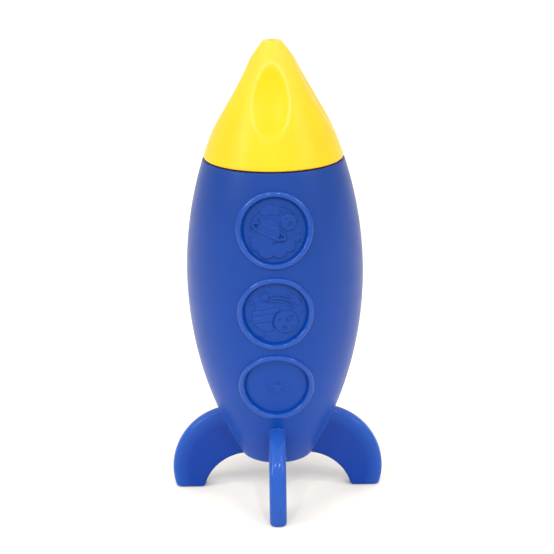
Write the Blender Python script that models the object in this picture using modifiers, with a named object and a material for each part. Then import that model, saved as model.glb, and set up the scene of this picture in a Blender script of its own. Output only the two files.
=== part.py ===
"""Soft bath-toy rocket: a hollow barrel hull on four crescent fins, with a pull-off nose.

Units are metres, +Z is up and the origin is on the floor under the middle of the rocket.
The portholes and one fin face -Y. One circular arc makes the whole side, from the base to
the tip, so every outside shape is worked out from side_radius().
"""
import math

import bmesh
import bpy
from mathutils import Matrix, Vector

# Driving dimensions
HEIGHT = 0.170
BODY_RADIUS = 0.0323
WIDEST_HEIGHT = 0.0848
SIDE_ARC = 0.1393
BASE_HEIGHT = 0.0139
SEAM_HEIGHT = 0.1280
WALL = 0.0028
GAP = 0.0003
SEAM_GAP = 0.0004
EDGE_ROUND = 0.0004

# Hull neck, and the plug that pushes into it
NECK_BORE = 0.0219
NECK_LIP_BOTTOM = 0.1140
NECK_LIP_RUN_OUT = 0.1085
BASE_ROUND = 0.0008
PLUG_BOTTOM = 0.1145
PLUG_BORE = 0.0165
PLUG_LEAD_IN = 0.0010
SPIGOT_RADIUS = 0.0192
SPIGOT_TOP = 0.1340

# Nose
NOSE_WALL = 0.0036
NOSE_CAVITY_TOP = 0.1620
NOSE_TURN = math.radians(-3)
TIP_ROUND = 0.0015
SQUIRT_HOLE = 0.0012
DENT_COUNT = 4
DENT_HEIGHT = 0.1513
DENT_DEPTH = 0.0020
DENT_ACROSS = 0.0147
DENT_ALONG = 0.0225
DENT_THROUGH = 0.0060

# Portholes, named with the height of each middle
PORTHOLES = {"upper": 0.1085, "middle": 0.0790, "lower": 0.0500}
RING_RADIUS = 0.0125
RING_HALF_WIDTH = 0.00115
RING_HALF_HEIGHT = 0.00045
RECESS_RADIUS = 0.01135
RECESS_DEPTH = 0.0012
PLAQUE_FACE = -0.0002

# Emblems on the plaques, as shares of an emblem's own radius
RELIEF_HEIGHT = 0.0004
RELIEF_ROOT = 0.0003
STAR_POINTS = 5
STAR_WAIST = 0.45
MOON_MOUTH = 55
MOON_HOLLOW_SHIFT = 0.30
PLANET_RING_REACH = 1.75
PLANET_RING_TILT = math.radians(14)
PLANET_RING_ROOT = 22

# Fins, with each arc's centre as (radius, height)
FIN_NAMES = ("fin_front", "fin_right", "fin_rear", "fin_left")
FIN_THICKNESS = 0.0062
FIN_EDGE_ROUND = 0.0017
FIN_OUTER_ARC = 0.0247
FIN_OUTER_CENTRE = (0.0151, 0.0074)
FIN_INNER_ARC = 0.0178
FIN_INNER_CENTRE = (0.0105, -0.0041)

# Fineness
TURN_STEPS = 48
ARC_STEPS = 12
RING_STEPS = 36
RING_SECTION_STEPS = 8
PLAQUE_RINGS = 3
EMBLEM_ARC_STEPS = 8
FIN_BACK_STEPS = 16
FIN_ARCH_STEPS = 10
EDGE_STEPS = 2
CORNER_STEPS = 3
TIP_STEPS = 4
DENT_STEPS = (48, 28)
MERGE = 0.00001
SHARP_ANGLE = math.radians(35)
FLAT_ANGLE = math.radians(1)
BEVEL_ANGLE = math.radians(40)

HULL_BLUE = (0.026, 0.080, 0.413)
FIN_BLUE = (0.021, 0.080, 0.462)
RING_BLUE = (0.048, 0.122, 0.552)
NOSE_YELLOW = (0.983, 0.815, 0.033)
SOFT_ROUGHNESS = 0.45


# ---- scene and meshes ----


def clear_scene():
    for obj in list(bpy.data.objects):
        bpy.data.objects.remove(obj, do_unlink=True)


def new_collection(name):
    made = bpy.data.collections.new(name)
    bpy.context.scene.collection.children.link(made)
    return made


def soft_material(name, colour):
    made = bpy.data.materials.new(name)
    made.use_nodes = True
    shader = made.node_tree.nodes["Principled BSDF"]
    shader.inputs["Base Color"].default_value = (*colour, 1.0)
    shader.inputs["Roughness"].default_value = SOFT_ROUGHNESS
    shader.inputs["Metallic"].default_value = 0.0
    return made


def add_part(name, mesh, colour, parts):
    """A sub-part with its own material, shaded smooth except at its real edges."""
    mesh.name = name
    mesh.materials.clear()
    mesh.materials.append(soft_material(name, colour))
    mesh.shade_smooth()
    mesh.set_sharp_from_angle(angle=SHARP_ANGLE)
    obj = bpy.data.objects.new(name, mesh)
    parts.objects.link(obj)
    return obj


def add_cutter(name, mesh, cutters):
    obj = bpy.data.objects.new(name, mesh)
    obj.hide_render = True
    obj.display_type = "WIRE"
    cutters.objects.link(obj)
    return obj


def combine(obj, other, operation):
    modifier = obj.modifiers.new(other.name, "BOOLEAN")
    modifier.solver = "EXACT"
    modifier.operation = operation
    modifier.object = other


def evaluated_mesh(obj):
    """The object's mesh with its modifiers applied. The object itself is removed."""
    bpy.context.view_layer.update()
    graph = bpy.context.evaluated_depsgraph_get()
    mesh = bpy.data.meshes.new_from_object(obj.evaluated_get(graph))
    bpy.data.objects.remove(obj, do_unlink=True)
    return mesh


def tidy_mesh(mesh, join_flat=False):
    """Welds loose caps and seams, joins the triangles of flat sides and turns faces outward."""
    shape = bmesh.new()
    shape.from_mesh(mesh)
    bmesh.ops.remove_doubles(shape, verts=shape.verts, dist=MERGE)
    if join_flat:
        bmesh.ops.dissolve_limit(
            shape, angle_limit=FLAT_ANGLE, verts=shape.verts, edges=shape.edges
        )
    bmesh.ops.recalc_face_normals(shape, faces=shape.faces)
    shape.to_mesh(mesh)
    shape.free()
    return mesh


def turned_mesh(profile, steps=TURN_STEPS):
    """Turns a profile of (radius, height) points, listed down its outer side, about Z.

    A profile that starts and ends on the axis makes a solid of one skin. Any other is closed
    into a ring.
    """
    mesh = bpy.data.meshes.new("profile")
    edges = [(i, i + 1) for i in range(len(profile) - 1)]
    if profile[0][0] > 0:
        edges.append((len(profile) - 1, 0))
    mesh.from_pydata([(radius, 0.0, height) for radius, height in profile], edges, [])
    obj = bpy.data.objects.new("profile", mesh)
    bpy.context.scene.collection.objects.link(obj)
    screw = obj.modifiers.new("turn", "SCREW")
    screw.axis = "Z"
    screw.angle = math.tau
    screw.steps = steps
    screw.render_steps = steps
    screw.use_merge_vertices = True
    screw.merge_threshold = MERGE
    return tidy_mesh(evaluated_mesh(obj))


def outline_mesh(outline, half_depth):
    """A flat solid with this (x, z) outline, half_depth thick to each side of Y = 0."""
    curve = bpy.data.curves.new("outline", "CURVE")
    curve.dimensions = "2D"
    curve.fill_mode = "BOTH"
    curve.extrude = half_depth
    spline = curve.splines.new("POLY")
    spline.points.add(len(outline) - 1)
    for point, (x, z) in zip(spline.points, outline):
        point.co = (x, z, 0.0, 1.0)
    spline.use_cyclic_u = True
    obj = bpy.data.objects.new("outline", curve)
    bpy.context.scene.collection.objects.link(obj)
    mesh = evaluated_mesh(obj)
    mesh.transform(Matrix.Rotation(math.pi / 2, 4, "X"))
    return tidy_mesh(mesh, join_flat=True)


def arc(centre, radius, start, end, steps):
    """Points along a circle from one angle to another, in degrees, both ends included."""
    points = []
    for i in range(steps + 1):
        angle = math.radians(start + (end - start) * i / steps)
        points.append((centre[0] + radius * math.cos(angle), centre[1] + radius * math.sin(angle)))
    return points


def rounded(before, corner, after, radius, steps):
    """The arc that rounds the corner between two neighbouring points of a profile."""
    corner = Vector(corner)
    to_before = (Vector(before) - corner).normalized()
    to_after = (Vector(after) - corner).normalized()
    half_angle = to_before.angle(to_after) / 2
    start = corner + to_before * radius / math.tan(half_angle)
    end = corner + to_after * radius / math.tan(half_angle)
    centre = corner + (to_before + to_after).normalized() * radius / math.sin(half_angle)
    points = []
    for i in range(steps + 1):
        chord = start.lerp(end, i / steps) - centre
        points.append(tuple(centre + chord.normalized() * radius))
    return points


# ---- the side arc ----


def side_radius(height, offset=0.0):
    """Radius of the outside at a height, or of the surface that lies offset outside it."""
    reach = SIDE_ARC + offset
    return BODY_RADIUS - SIDE_ARC + math.sqrt(reach**2 - (height - WIDEST_HEIGHT) ** 2)


def side_points(first, last, offset=0.0, steps=ARC_STEPS):
    """(radius, height) points along the side from one height to another."""
    heights = [first + (last - first) * i / steps for i in range(steps + 1)]
    return [(side_radius(height, offset), height) for height in heights]


def side_normal(turn, height):
    """The way out of the side at an angle from -Y towards +X."""
    slope = math.asin((height - WIDEST_HEIGHT) / SIDE_ARC)
    return Vector(
        (math.sin(turn) * math.cos(slope), -math.cos(turn) * math.cos(slope), math.sin(slope))
    )


def wrap(mesh, middle_height):
    """Lays a flat mesh onto the front of the side: X stays across, Z stays up, -Y is outward."""
    for vertex in mesh.vertices:
        across, inward, up = vertex.co
        height = middle_height + up
        radius = side_radius(height)
        turn = math.asin(across / radius)
        surface = Vector((across, -radius * math.cos(turn), height))
        vertex.co = surface - side_normal(turn, height) * inward
    return mesh


# ---- hull ----


def hull_profile():
    rim = SEAM_HEIGHT - SEAM_GAP / 2
    floor = BASE_HEIGHT + WALL
    bore_bottom = (NECK_BORE, NECK_LIP_BOTTOM)
    bore_top = (NECK_BORE, rim)
    rim_edge = (side_radius(rim), rim)
    side = side_points(rim - 2 * EDGE_ROUND, BASE_HEIGHT + 2 * BASE_ROUND)
    base_edge = (side_radius(BASE_HEIGHT), BASE_HEIGHT)
    inside = side_points(floor, NECK_LIP_RUN_OUT, -WALL)
    return [
        (0.0, floor),
        *inside,
        bore_bottom,
        *rounded(bore_bottom, bore_top, rim_edge, EDGE_ROUND, EDGE_STEPS),
        *rounded(bore_top, rim_edge, side[0], EDGE_ROUND, EDGE_STEPS),
        *side,
        *rounded(side[-1], base_edge, (0.0, BASE_HEIGHT), BASE_ROUND, CORNER_STEPS),
        (0.0, BASE_HEIGHT),
    ]


def disc_profile(radius, low, high, rings):
    """A flat disc, with points in rings so that it can bend."""
    top = [(radius * i / rings, high) for i in range(rings + 1)]
    return top + [(point[0], low) for point in reversed(top)]


def disc_mesh(radius, inner_face, outer_face):
    """A round disc that faces -Y, between two distances outward."""
    mesh = turned_mesh(disc_profile(radius, inner_face, outer_face, PLAQUE_RINGS), RING_STEPS)
    mesh.transform(Matrix.Rotation(math.pi / 2, 4, "X"))
    return mesh


def make_hull(parts, cutters):
    hull = add_part("hull_shell", turned_mesh(hull_profile()), HULL_BLUE, parts)
    for place, height in PORTHOLES.items():
        recess = wrap(disc_mesh(RECESS_RADIUS, -RECESS_DEPTH, RECESS_DEPTH), height)
        combine(hull, add_cutter("recess_" + place, recess, cutters), "DIFFERENCE")


# ---- portholes ----


def star(middle, radius):
    """Outline of a star with one point up."""
    outline = []
    for i in range(2 * STAR_POINTS):
        reach = radius if i % 2 == 0 else radius * STAR_WAIST
        angle = math.pi / 2 + math.pi * i / STAR_POINTS
        outline.append((middle[0] + reach * math.cos(angle), middle[1] + reach * math.sin(angle)))
    return outline


def crescent(middle, radius):
    """Outline of a moon: an outer arc, and the flatter arc that hollows it."""
    mouth = math.radians(MOON_MOUTH)
    outer = arc(middle, radius, MOON_MOUTH, 360 - MOON_MOUTH, 2 * EMBLEM_ARC_STEPS)
    reach = radius * math.sin(mouth)
    hollow_middle = (middle[0] + radius * math.cos(mouth) + reach * MOON_HOLLOW_SHIFT, middle[1])
    hollow_radius = math.hypot(outer[-1][0] - hollow_middle[0], reach)
    half_turn = math.degrees(math.atan2(reach, outer[-1][0] - hollow_middle[0]))
    hollow = arc(hollow_middle, hollow_radius, -half_turn, half_turn - 360, 2 * EMBLEM_ARC_STEPS)
    return outer[:-1] + hollow[:-1]


def planet(middle, radius):
    """Outline of a ball with a flat ring that stands out at each side."""
    across = radius * PLANET_RING_REACH * math.cos(PLANET_RING_TILT)
    rise = radius * PLANET_RING_REACH * math.sin(PLANET_RING_TILT)
    below = arc(middle, radius, 180 + PLANET_RING_ROOT, 360 - PLANET_RING_ROOT, EMBLEM_ARC_STEPS)
    above = arc(middle, radius, PLANET_RING_ROOT, 180 - PLANET_RING_ROOT, EMBLEM_ARC_STEPS)
    right_tip = (middle[0] + across, middle[1] + rise)
    left_tip = (middle[0] - across, middle[1] - rise)
    return [*below, right_tip, *above, left_tip]


RELIEFS = {
    "upper": [
        planet((0.0, 0.0), 0.0046),
        star((0.0052, -0.0058), 0.0014),
        star((-0.0050, 0.0060), 0.0014),
    ],
    "middle": [crescent((-0.0010, 0.0), 0.0062), star((0.0042, 0.0010), 0.0022)],
    "lower": [star((0.0, 0.0), 0.0022)],
}


def make_porthole(place, height, parts, cutters):
    bpy.ops.mesh.primitive_torus_add(
        major_radius=RING_RADIUS,
        minor_radius=RING_HALF_WIDTH,
        major_segments=RING_STEPS,
        minor_segments=RING_SECTION_STEPS,
    )
    blank = bpy.context.active_object
    ring = blank.data
    bpy.data.objects.remove(blank, do_unlink=True)
    flatten = Matrix.Diagonal((1.0, 1.0, RING_HALF_HEIGHT / RING_HALF_WIDTH, 1.0))
    lift = Matrix.Translation((0.0, 0.0, GAP + RING_HALF_HEIGHT))
    ring.transform(Matrix.Rotation(math.pi / 2, 4, "X") @ lift @ flatten)
    add_part("porthole_ring_" + place, wrap(ring, height), RING_BLUE, parts)

    disc = disc_mesh(RECESS_RADIUS - GAP, GAP - RECESS_DEPTH, PLAQUE_FACE)
    plaque = add_part("porthole_plaque_" + place, wrap(disc, height), HULL_BLUE, parts)
    half_depth = (RELIEF_HEIGHT + RELIEF_ROOT) / 2
    middle_depth = PLAQUE_FACE + RELIEF_HEIGHT - half_depth
    for i, outline in enumerate(RELIEFS[place]):
        raised = outline_mesh(outline, half_depth)
        raised.transform(Matrix.Translation((0.0, -middle_depth, 0.0)))
        emblem = add_cutter(f"emblem_{place}_{i + 1}", wrap(raised, height), cutters)
        combine(plaque, emblem, "UNION")


# ---- fins ----


def fin_outline():
    """(radius, height) points: over the back, along the sole, up the arch, and inside the hull."""
    sole_angle = math.degrees(math.asin(FIN_OUTER_CENTRE[1] / FIN_OUTER_ARC))
    arch_angle = math.degrees(math.asin(-FIN_INNER_CENTRE[1] / FIN_INNER_ARC))
    back = arc(FIN_OUTER_CENTRE, FIN_OUTER_ARC, 90, -sole_angle, FIN_BACK_STEPS)
    arch = arc(FIN_INNER_CENTRE, FIN_INNER_ARC, arch_angle, 90, FIN_ARCH_STEPS)
    return back + arch


def make_fins(parts, cutters):
    """One blank, turned to each side and trimmed to the hull with a gap."""
    clearance = side_points(SEAM_HEIGHT, BASE_HEIGHT - GAP, GAP)
    trim_profile = [(0.0, SEAM_HEIGHT), *clearance, (0.0, BASE_HEIGHT - GAP)]
    trim = add_cutter("hull_clearance", turned_mesh(trim_profile), cutters)
    for i, name in enumerate(FIN_NAMES):
        fin = add_part(name, outline_mesh(fin_outline(), FIN_THICKNESS / 2), FIN_BLUE, parts)
        fin.rotation_euler.z = math.radians(90 * i - 90)
        edges = fin.modifiers.new("rounded_edges", "BEVEL")
        edges.width = FIN_EDGE_ROUND
        edges.segments = CORNER_STEPS
        edges.limit_method = "ANGLE"
        edges.angle_limit = BEVEL_ANGLE
        combine(fin, trim, "DIFFERENCE")


# ---- nose ----


def nose_profile():
    bottom = SEAM_HEIGHT + SEAM_GAP / 2
    socket = SPIGOT_RADIUS + GAP
    socket_top = SPIGOT_TOP + GAP
    hole_top = (SQUIRT_HOLE, HEIGHT)
    tip_edge = (side_radius(HEIGHT), HEIGHT)
    side = side_points(HEIGHT - TIP_ROUND, bottom + 2 * EDGE_ROUND)
    bottom_edge = (side_radius(bottom), bottom)
    socket_edge = (socket, bottom)
    cavity = side_points(socket_top + WALL, NOSE_CAVITY_TOP, -NOSE_WALL)
    return [
        hole_top,
        *rounded(hole_top, tip_edge, side[0], TIP_ROUND, TIP_STEPS),
        *side[1:],
        *rounded(side[-1], bottom_edge, socket_edge, EDGE_ROUND, EDGE_STEPS),
        socket_edge,
        (socket, socket_top),
        (PLUG_BORE, socket_top),
        *[point for point in cavity if point[0] < PLUG_BORE],
        (SQUIRT_HOLE, NOSE_CAVITY_TOP + SQUIRT_HOLE * 2),
    ]


def make_nose(parts, cutters):
    nose = add_part("nose_cone", turned_mesh(nose_profile()), NOSE_YELLOW, parts)
    nose.rotation_euler.z = NOSE_TURN
    outside = side_normal(0.0, DENT_HEIGHT)
    surface = Vector((0.0, -side_radius(DENT_HEIGHT), DENT_HEIGHT))
    middle = surface + outside * (DENT_THROUGH - DENT_DEPTH)
    tilt = math.asin(outside.z)
    for i in range(DENT_COUNT):
        shape = bmesh.new()
        bmesh.ops.create_uvsphere(
            shape, u_segments=DENT_STEPS[0], v_segments=DENT_STEPS[1], radius=1.0
        )
        dent = bpy.data.meshes.new("dent")
        shape.to_mesh(dent)
        shape.free()
        size = Matrix.Diagonal((DENT_ACROSS, DENT_THROUGH, DENT_ALONG, 1.0))
        lean = Matrix.Rotation(-tilt, 4, "X")
        turn = Matrix.Rotation(NOSE_TURN + math.tau * i / DENT_COUNT, 4, "Z")
        dent.transform(turn @ Matrix.Translation(middle) @ lean @ size)
        combine(nose, add_cutter(f"dent_{i + 1}", dent, cutters), "DIFFERENCE")


def make_plug(parts):
    """A hollow collar: a skirt for the hull neck and a narrower spigot for the nose socket."""
    skirt = NECK_BORE - GAP
    shoulder = SEAM_HEIGHT + SEAM_GAP / 2 - GAP
    profile = [
        (SPIGOT_RADIUS, SPIGOT_TOP),
        (SPIGOT_RADIUS, shoulder),
        (skirt, shoulder),
        (skirt, PLUG_BOTTOM + PLUG_LEAD_IN),
        (skirt - PLUG_LEAD_IN, PLUG_BOTTOM),
        (PLUG_BORE, PLUG_BOTTOM),
        (PLUG_BORE, SPIGOT_TOP),
    ]
    add_part("nose_plug", turned_mesh(profile), NOSE_YELLOW, parts)


def main():
    clear_scene()
    parts = new_collection("toy_rocket")
    cutters = new_collection("cutters")
    make_hull(parts, cutters)
    for place, height in PORTHOLES.items():
        make_porthole(place, height, parts, cutters)
    make_fins(parts, cutters)
    make_plug(parts)
    make_nose(parts, cutters)


main()
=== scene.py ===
"""Looks for the soft bath-toy rocket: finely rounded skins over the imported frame.

Units are metres, +Z is up and the portholes face -Y. One circular arc makes the whole side of
the rocket, and every outside piece is laid on it.
"""
import math

import bpy
import numpy as np
from mathutils import Matrix, Vector

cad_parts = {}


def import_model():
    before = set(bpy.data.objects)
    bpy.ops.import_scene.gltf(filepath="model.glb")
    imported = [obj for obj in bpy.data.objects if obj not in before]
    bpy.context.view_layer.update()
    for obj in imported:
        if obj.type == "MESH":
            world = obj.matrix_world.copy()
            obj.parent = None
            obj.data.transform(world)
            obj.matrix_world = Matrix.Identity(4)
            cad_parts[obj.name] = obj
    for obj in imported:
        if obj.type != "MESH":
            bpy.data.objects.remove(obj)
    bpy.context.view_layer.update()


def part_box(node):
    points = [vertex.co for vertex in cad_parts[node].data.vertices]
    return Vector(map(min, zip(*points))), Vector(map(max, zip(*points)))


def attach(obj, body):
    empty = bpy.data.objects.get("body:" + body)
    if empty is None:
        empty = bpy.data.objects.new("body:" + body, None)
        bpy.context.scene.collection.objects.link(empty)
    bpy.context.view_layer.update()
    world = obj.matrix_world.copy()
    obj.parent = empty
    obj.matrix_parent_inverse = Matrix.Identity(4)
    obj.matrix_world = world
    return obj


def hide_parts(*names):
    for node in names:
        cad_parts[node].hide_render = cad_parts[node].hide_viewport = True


MM = 0.001

# The side arc of hull and nose
BODY_RADIUS = 32.3 * MM
WIDEST_HEIGHT = 84.8 * MM
SIDE_ARC = 139.3 * MM
WALL = 2.8 * MM
EDGE_ROUND = 0.45 * MM
GAP = 0.3 * MM

# Hull
NECK_BORE = 21.9 * MM
NECK_LIP_BOTTOM = 114.0 * MM
NECK_LIP_RUN_OUT = 108.5 * MM
BASE_ROUND = 1.2 * MM
HULL_COLUMNS = 288
HULL_ROWS = 186
INSIDE_ROWS = 22
FLOOR_CORNER_STEPS = 4
RIM_STEPS = 5
BASE_STEPS = 6
POLE_RING = 0.4  # the last ring before a pole, as a share of the flat's radius
POCKET_RADIUS = 12.3 * MM
POCKET_RUN_OUT = 0.5 * MM
POCKET_DEPTH = 1.7 * MM

# Portholes: (distance from the middle of the porthole, height above the side)
RING_SECTION = (
    (13.95, -0.55), (13.66, -0.10), (13.47, 0.10), (13.40, 0.54), (13.04, 1.02), (12.42, 1.24),
    (11.80, 1.12), (11.46, 0.64), (11.40, 0.00), (11.36, -0.60), (11.20, -1.20), (12.60, -1.60),
)
RING_SPLINE_STEPS = 4
RING_COLUMNS = 240
PLAQUE_RADIUS = 11.45 * MM
PLAQUE_FACE = -0.45 * MM
PLAQUE_BACK = -1.25 * MM
PLAQUE_EDGE_DROP = -0.15 * MM
PLAQUE_EDGE_WIDTH = 0.9 * MM
PLAQUE_RINGS = 84
PLAQUE_COLUMNS = 420

# Reliefs. Balls are (across, up, radius, height), pits are (across, up, radius, depth), and arcs
# are (across, up, radius, first angle, last angle, half width, height), all in mm and degrees.
RELIEF_SOFTNESS = 0.14 * MM
DOME_FOOT = 0.45  # share of a ball's height that rises straight from the plaque
PIT_LIP = 0.12 * MM
STAR_POINTS = 5
STAR_WAIST = 0.45

UPPER_PLANET = (-2.0, -0.2, 4.1, 0.82)
UPPER_LEAN = math.radians(-24)
UPPER_GROOVES = (2.2, -2.1)
UPPER_GROOVE_HALF_WIDTH = 0.24 * MM
UPPER_GROOVE_DEPTH = 0.18 * MM
UPPER_GROOVE_MARGIN = 0.3 * MM
UPPER_BAND_OUTER = (6.8 * MM, 2.0 * MM)
UPPER_BAND_INNER = (5.5 * MM, 1.1 * MM)
UPPER_BAND_HEIGHT = 0.92 * MM
UPPER_CLOUDS = (
    (-6.0, -4.6, 2.5, 0.60), (-2.8, -6.6, 3.1, 0.75), (1.6, -6.8, 2.7, 0.66),
    (5.2, -5.2, 2.3, 0.56), (-3.6, 6.6, 1.5, 0.50), (-1.6, 7.2, 1.8, 0.60), (0.6, 6.7, 1.5, 0.50),
)
UPPER_MOON = (5.0, 2.8, 2.8, 0.68)
UPPER_PITS = ((5.7, 2.2, 1.05, 0.34), (4.1, 4.2, 0.42, 0.24))
UPPER_BALLS = ((8.7, -0.8, 0.7, 0.48), (-8.6, -1.8, 0.6, 0.42))
UPPER_STARS = (
    (-6.6, 3.9, 1.6, 0.50), (8.3, -3.4, 1.1, 0.44), (-8.6, 0.6, 1.0, 0.44), (2.4, -2.8, 1.1, 0.44),
)
UPPER_ARCS = (
    (0, 0, 8.9, 14, 70, 0.26, 0.48), (0, 0, 8.9, -62, -32, 0.26, 0.48),
    (0, 0, 7.3, 20, 38, 0.22, 0.40),
)

MIDDLE_PLANET = (-3.0, -1.2, 5.4, 0.66)
MIDDLE_BANDS = ((2.9, 0.5), (0.9, 0.8), (-1.9, 0.6))  # (shift, width)
MIDDLE_BAND_SLOPE = 0.22
MIDDLE_BAND_DEPTH = 0.25 * MM
MIDDLE_BAND_REACH = 5.0 * MM
MIDDLE_MOON = (3.7, -2.9, 4.3, 0.86)
MIDDLE_MOON_CLEAR = 4.9 * MM
MIDDLE_PITS = (
    (5.0, -1.6, 1.25, 0.44), (3.0, -5.0, 0.80, 0.38), (1.4, -2.0, 0.40, 0.25),
    (5.9, -4.6, 0.35, 0.22),
)
MIDDLE_BALLS = ((8.0, 4.0, 1.1, 0.60), (-8.9, -2.6, 0.6, 0.44))
MIDDLE_STARS = (
    (-3.6, 6.4, 2.3, 0.56), (-8.2, 3.8, 1.1, 0.46), (-4.9, -8.2, 1.1, 0.46), (9.3, 0.6, 0.8, 0.40),
    (5.2, 6.6, 0.9, 0.42),
)
MIDDLE_ARCS = (
    (0.6, -2.6, 9.6, -14, 26, 0.24, 0.48), (0.6, -2.6, 8.4, -12, 40, 0.24, 0.48),
    (0.6, -2.6, 7.2, -14, 52, 0.24, 0.48),
)

LOWER_DOTS = tuple((x, y, 0.45, 0.38) for x in (-3.7, 3.7) for y in (-2.4, -0.8, 0.8, 2.4))
LOWER_STARS = ((0, -0.1, 2.6, 0.50),)

# Fins, each arc's centre as (distance from the axis, height)
FIN_THICKNESS = 6.2 * MM
FIN_OUTER_DEPTH = 2.7 * MM
FIN_OUTER_SQUARENESS = 2.6
FIN_INNER_ROUND = 1.3 * MM
FIN_OUTER_ARC = 24.66 * MM
FIN_OUTER_CENTRE = (15.1 * MM, 7.4 * MM)
FIN_INNER_ARC = 17.8 * MM
FIN_INNER_CENTRE = (10.5 * MM, -4.1 * MM)
FIN_SOLE_ROUND_ALONG = 0.9 * MM
FIN_SOLE_ROUND_ACROSS = 1.2 * MM
FIN_ROOT_FILLET = 0.25 * MM
FIN_ROOT_DEPTH = 0.8 * MM
FIN_SECTIONS = 110
FIN_CROWDING = 0.85  # how strongly the sections gather at the sole and at the root
FIN_TRIAL_SECTIONS = 600
FIN_OUTER_STEPS = 24
FIN_CORNER_STEPS = 7
FIN_SIDE_STEPS = 12
FIN_INNER_STEPS = 6

# Nose
NOSE_COLUMNS = 384
NOSE_ROWS = 150
NOSE_WALL = 3.6 * MM
NOSE_CAVITY_TOP = 162.0 * MM
NOSE_TURN = math.radians(-3)
NOSE_LIP_ROUND = 0.65 * MM
NOSE_LIP_STEPS = 6
SOCKET_EDGE_STEPS = 4
CAVITY_ROWS = 14
TIP_ROUND = 1.5 * MM
TIP_STEPS = 8
SQUIRT_HOLE = 1.2 * MM
SQUIRT_HOLE_DEPTH = 1.0 * MM
SQUIRT_HOLE_ROUND = 0.35 * MM
SQUIRT_HOLE_STEPS = 4

# Dents, and two painted marks on the nose: a painted highlight along each dent's rim and painted
# shade on each dent's sunk floor
DENT_COUNT = 4
DENT_HEIGHT = 151.3 * MM
DENT_DEPTH = 2.0 * MM
DENT_ACROSS = 14.7 * MM
DENT_ALONG = 22.5 * MM
DENT_THROUGH = 6.0 * MM
DENT_RIM_ROUND = 0.30 * MM
DENT_FADE_TOP = 142.5 * MM
DENT_FADE_BOTTOM = 134.5 * MM
DENT_FADE_ROUND = 2.2 * MM
NO_DENT = 1.0  # a distance far outside the nose
PAINTED_RIM_HIGHLIGHT = "painted_rim_highlight"
PAINTED_RIM_HIGHLIGHT_WIDTH = 0.46 * MM
PAINTED_RIM_HIGHLIGHT_FADE_TOP = 144.5 * MM
PAINTED_RIM_HIGHLIGHT_FADE_BOTTOM = 139.0 * MM
PAINTED_DENT_SHADE = "sunk"
PAINTED_DENT_SHADE_FULL = 0.9 * MM

# Plug
PLUG_BORE = 16.5 * MM
SPIGOT_RADIUS = 19.2 * MM
SPIGOT_TOP = 134.0 * MM
PLUG_ROUNDS = (0.4 * MM, 0.4 * MM, 0.3 * MM, 0.4 * MM, 1.0 * MM, 0.4 * MM)
PLUG_CORNER_STEPS = 5
PLUG_SIDE_STEPS = 8
PLUG_COLUMNS = 192

# Rubber: grain sizes as noise scales, in features per metre, and the share of a noise where each
# ramp starts and ends
CLOUD_SCALE = 55
CLOUD_RAMP = (0.30, 0.70)
CLOUD_DARK = (0.965, 0.955, 0.96, 1)
CLOUD_LIGHT = (1.03, 1.03, 1.03, 1)
SPECK_SCALE = 900
SPECK_RAMP = (0.70, 0.78)
SPECK_LIGHT = (1.25, 1.22, 1.18, 1)
SPECK_STRENGTH = 0.6
GLOSS_SCALE = 130
GLOSS_RAMP = (0.3, 0.7)
GLOSS_BELOW = 0.03
GLOSS_ABOVE = 0.04
GRAIN_SCALE = 2600
GRAIN_BUMP = (0.10, 0.06 * MM)  # (strength, depth)
WAVE_SCALE = 110
WAVE_BUMP = (0.25, 0.12 * MM)
# Whitening of the painted highlight along the dent rims
PAINTED_RIM_HIGHLIGHT_WHITENING = 0.042
# Tint of the painted shade on the dent floors
PAINTED_DENT_SHADE_TINT = (0.98, 0.97, 0.1)
RUBBER_IOR = 1.43
FUZZ_ROUGHNESS = 0.30
GLOW_DEPTH = 1.2 * MM
GLOW_SPREAD = 0.3
WHITE = (1, 1, 1, 1)

# Studio
FLOOR_REACH = 6.0
FLOOR_TILES = 12
FLOOR_ROUGHNESS = 0.75
FLOOR_SHINE = 0.2
FLOOR_GRAIN_SCALE = 40
FLOOR_COLOURS = ((0.858, 0.820, 0.715, 1), (0.879, 0.840, 0.735, 1))
FLOOR_GLOW = (1.0, 0.98, 0.95, 1)
FLOOR_GLOW_STRENGTH = 0.085
ROOM_COLOUR = (1.0, 0.99, 0.975, 1)
ROOM_FRONT = 1.138
ROOM_WALLS = 0.80
ROOM_TOP = 1.37
ROOM_FRONT_FADE = (-0.95, -0.10)  # along Y, on a ball of radius 1
ROOM_TOP_FADE = (0.35, 0.85)  # along Z
LIGHT_AIM = (0, 0, 0.09)
LIGHTS = (  # (name, place, width, height, power)
    ("softbox_left", (-1.36, -0.72, 0.98), 0.55, 0.60, 8.8),
    ("softbox_right", (1.36, -0.72, 0.98), 0.55, 0.60, 5.4),
    ("lamp_left", (-0.48, -1.28, 1.70), 0.08, 0.08, 4.6),
    ("high_left", (-1.15, -0.65, 1.85), 0.30, 0.30, 3.0),
    ("lamp_right", (0.35, -1.32, 1.70), 0.08, 0.08, 5.4),
    ("high_right", (0.95, -0.85, 1.85), 0.30, 0.30, 3.6),
)
CAMERA_PLACE = (0.0, -0.56605, 0.2598)
CAMERA_PITCH = math.radians(17.384)
CAMERA_YAW = math.radians(0.07)
CAMERA_ROLL = math.radians(0.75)
CAMERA_LENS = 104.8
CAMERA_SENSOR = 36.0
CAMERA_NEAR = 0.01


# ---- the side arc ----


def side_radius(height, offset=0.0):
    """Radius of the outside at a height, or of the surface that lies offset outside it."""
    reach = SIDE_ARC + offset
    return BODY_RADIUS - SIDE_ARC + np.sqrt(reach**2 - (height - WIDEST_HEIGHT) ** 2)


def side_points(first, last, steps, offset=0.0):
    heights = np.linspace(first, last, steps + 1)
    return [(float(side_radius(h, offset)), float(h)) for h in heights]


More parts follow.
